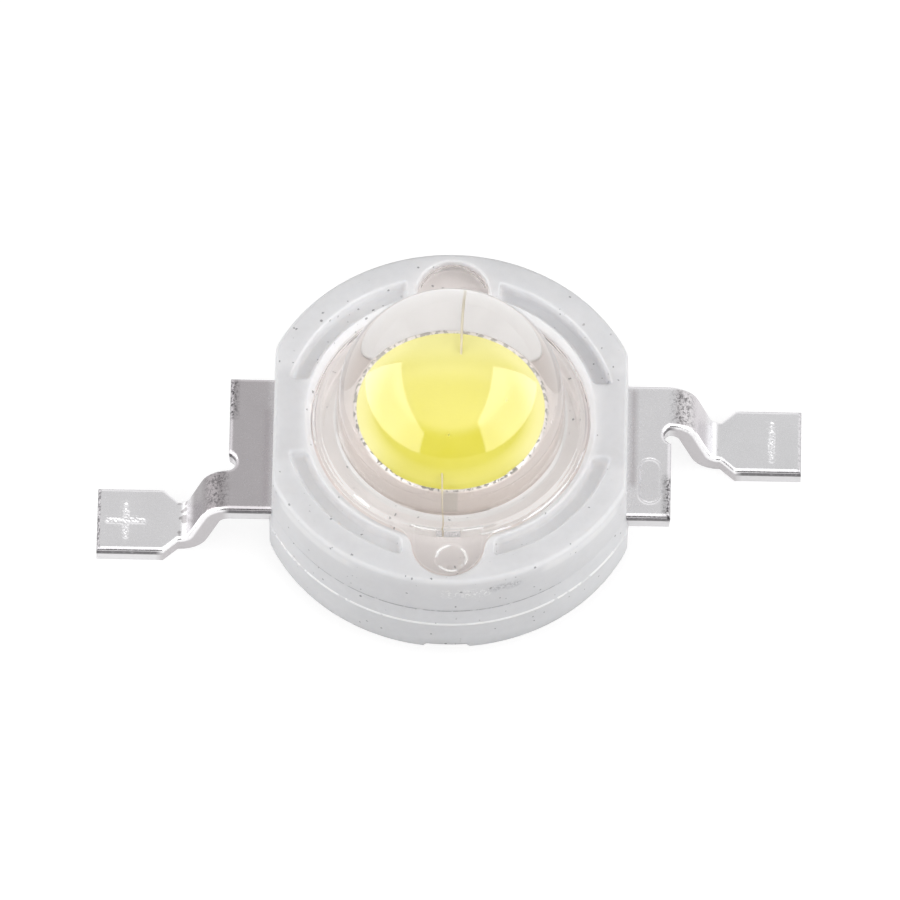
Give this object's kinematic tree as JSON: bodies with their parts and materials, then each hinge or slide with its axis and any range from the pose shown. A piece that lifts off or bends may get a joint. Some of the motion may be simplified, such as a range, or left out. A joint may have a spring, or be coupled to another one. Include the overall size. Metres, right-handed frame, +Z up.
{
  "type": "power led emitter",
  "caption": "Round high-power LED emitter: white moulded body with two flats, clear domed lens over a yellow phosphor, copper slug and formed gull-wing leads.",
  "frame": {"origin": "middle of the underside, on the board plane that the slug and both feet rest on", "axes": "+Z up through the lens, +X from the anode foot towards the cathode foot"},
  "size_m": [0.0142, 0.008, 0.0057],
  "materials": {
    "slug_plate": "silver-plated copper, satin",
    "white_plastic": "moulded, slightly translucent",
    "silver_plate": "silver-plated copper sheet, satin with bright edges",
    "clear_plastic": "polished clear plastic",
    "clear_gel": "clear silicone gel",
    "yellow_phosphor": "silicone loaded with phosphor powder",
    "blue_die": "polished semiconductor",
    "silver_glue": "silver-filled adhesive",
    "gold": "drawn gold wire"
  },
  "bodies": {
    "root": {"heat_slug": "slug_plate", "housing": "white_plastic", "anode_lead": "silver_plate", "cathode_lead": "silver_plate", "lens": "clear_plastic", "silicone_fill": "clear_gel", "phosphor_layer": "yellow_phosphor", "led_chip": "blue_die", "die_attach": "silver_glue", "bond_wire_anode": "gold", "bond_wire_cathode": "gold"}
  },
  "joints": []
}
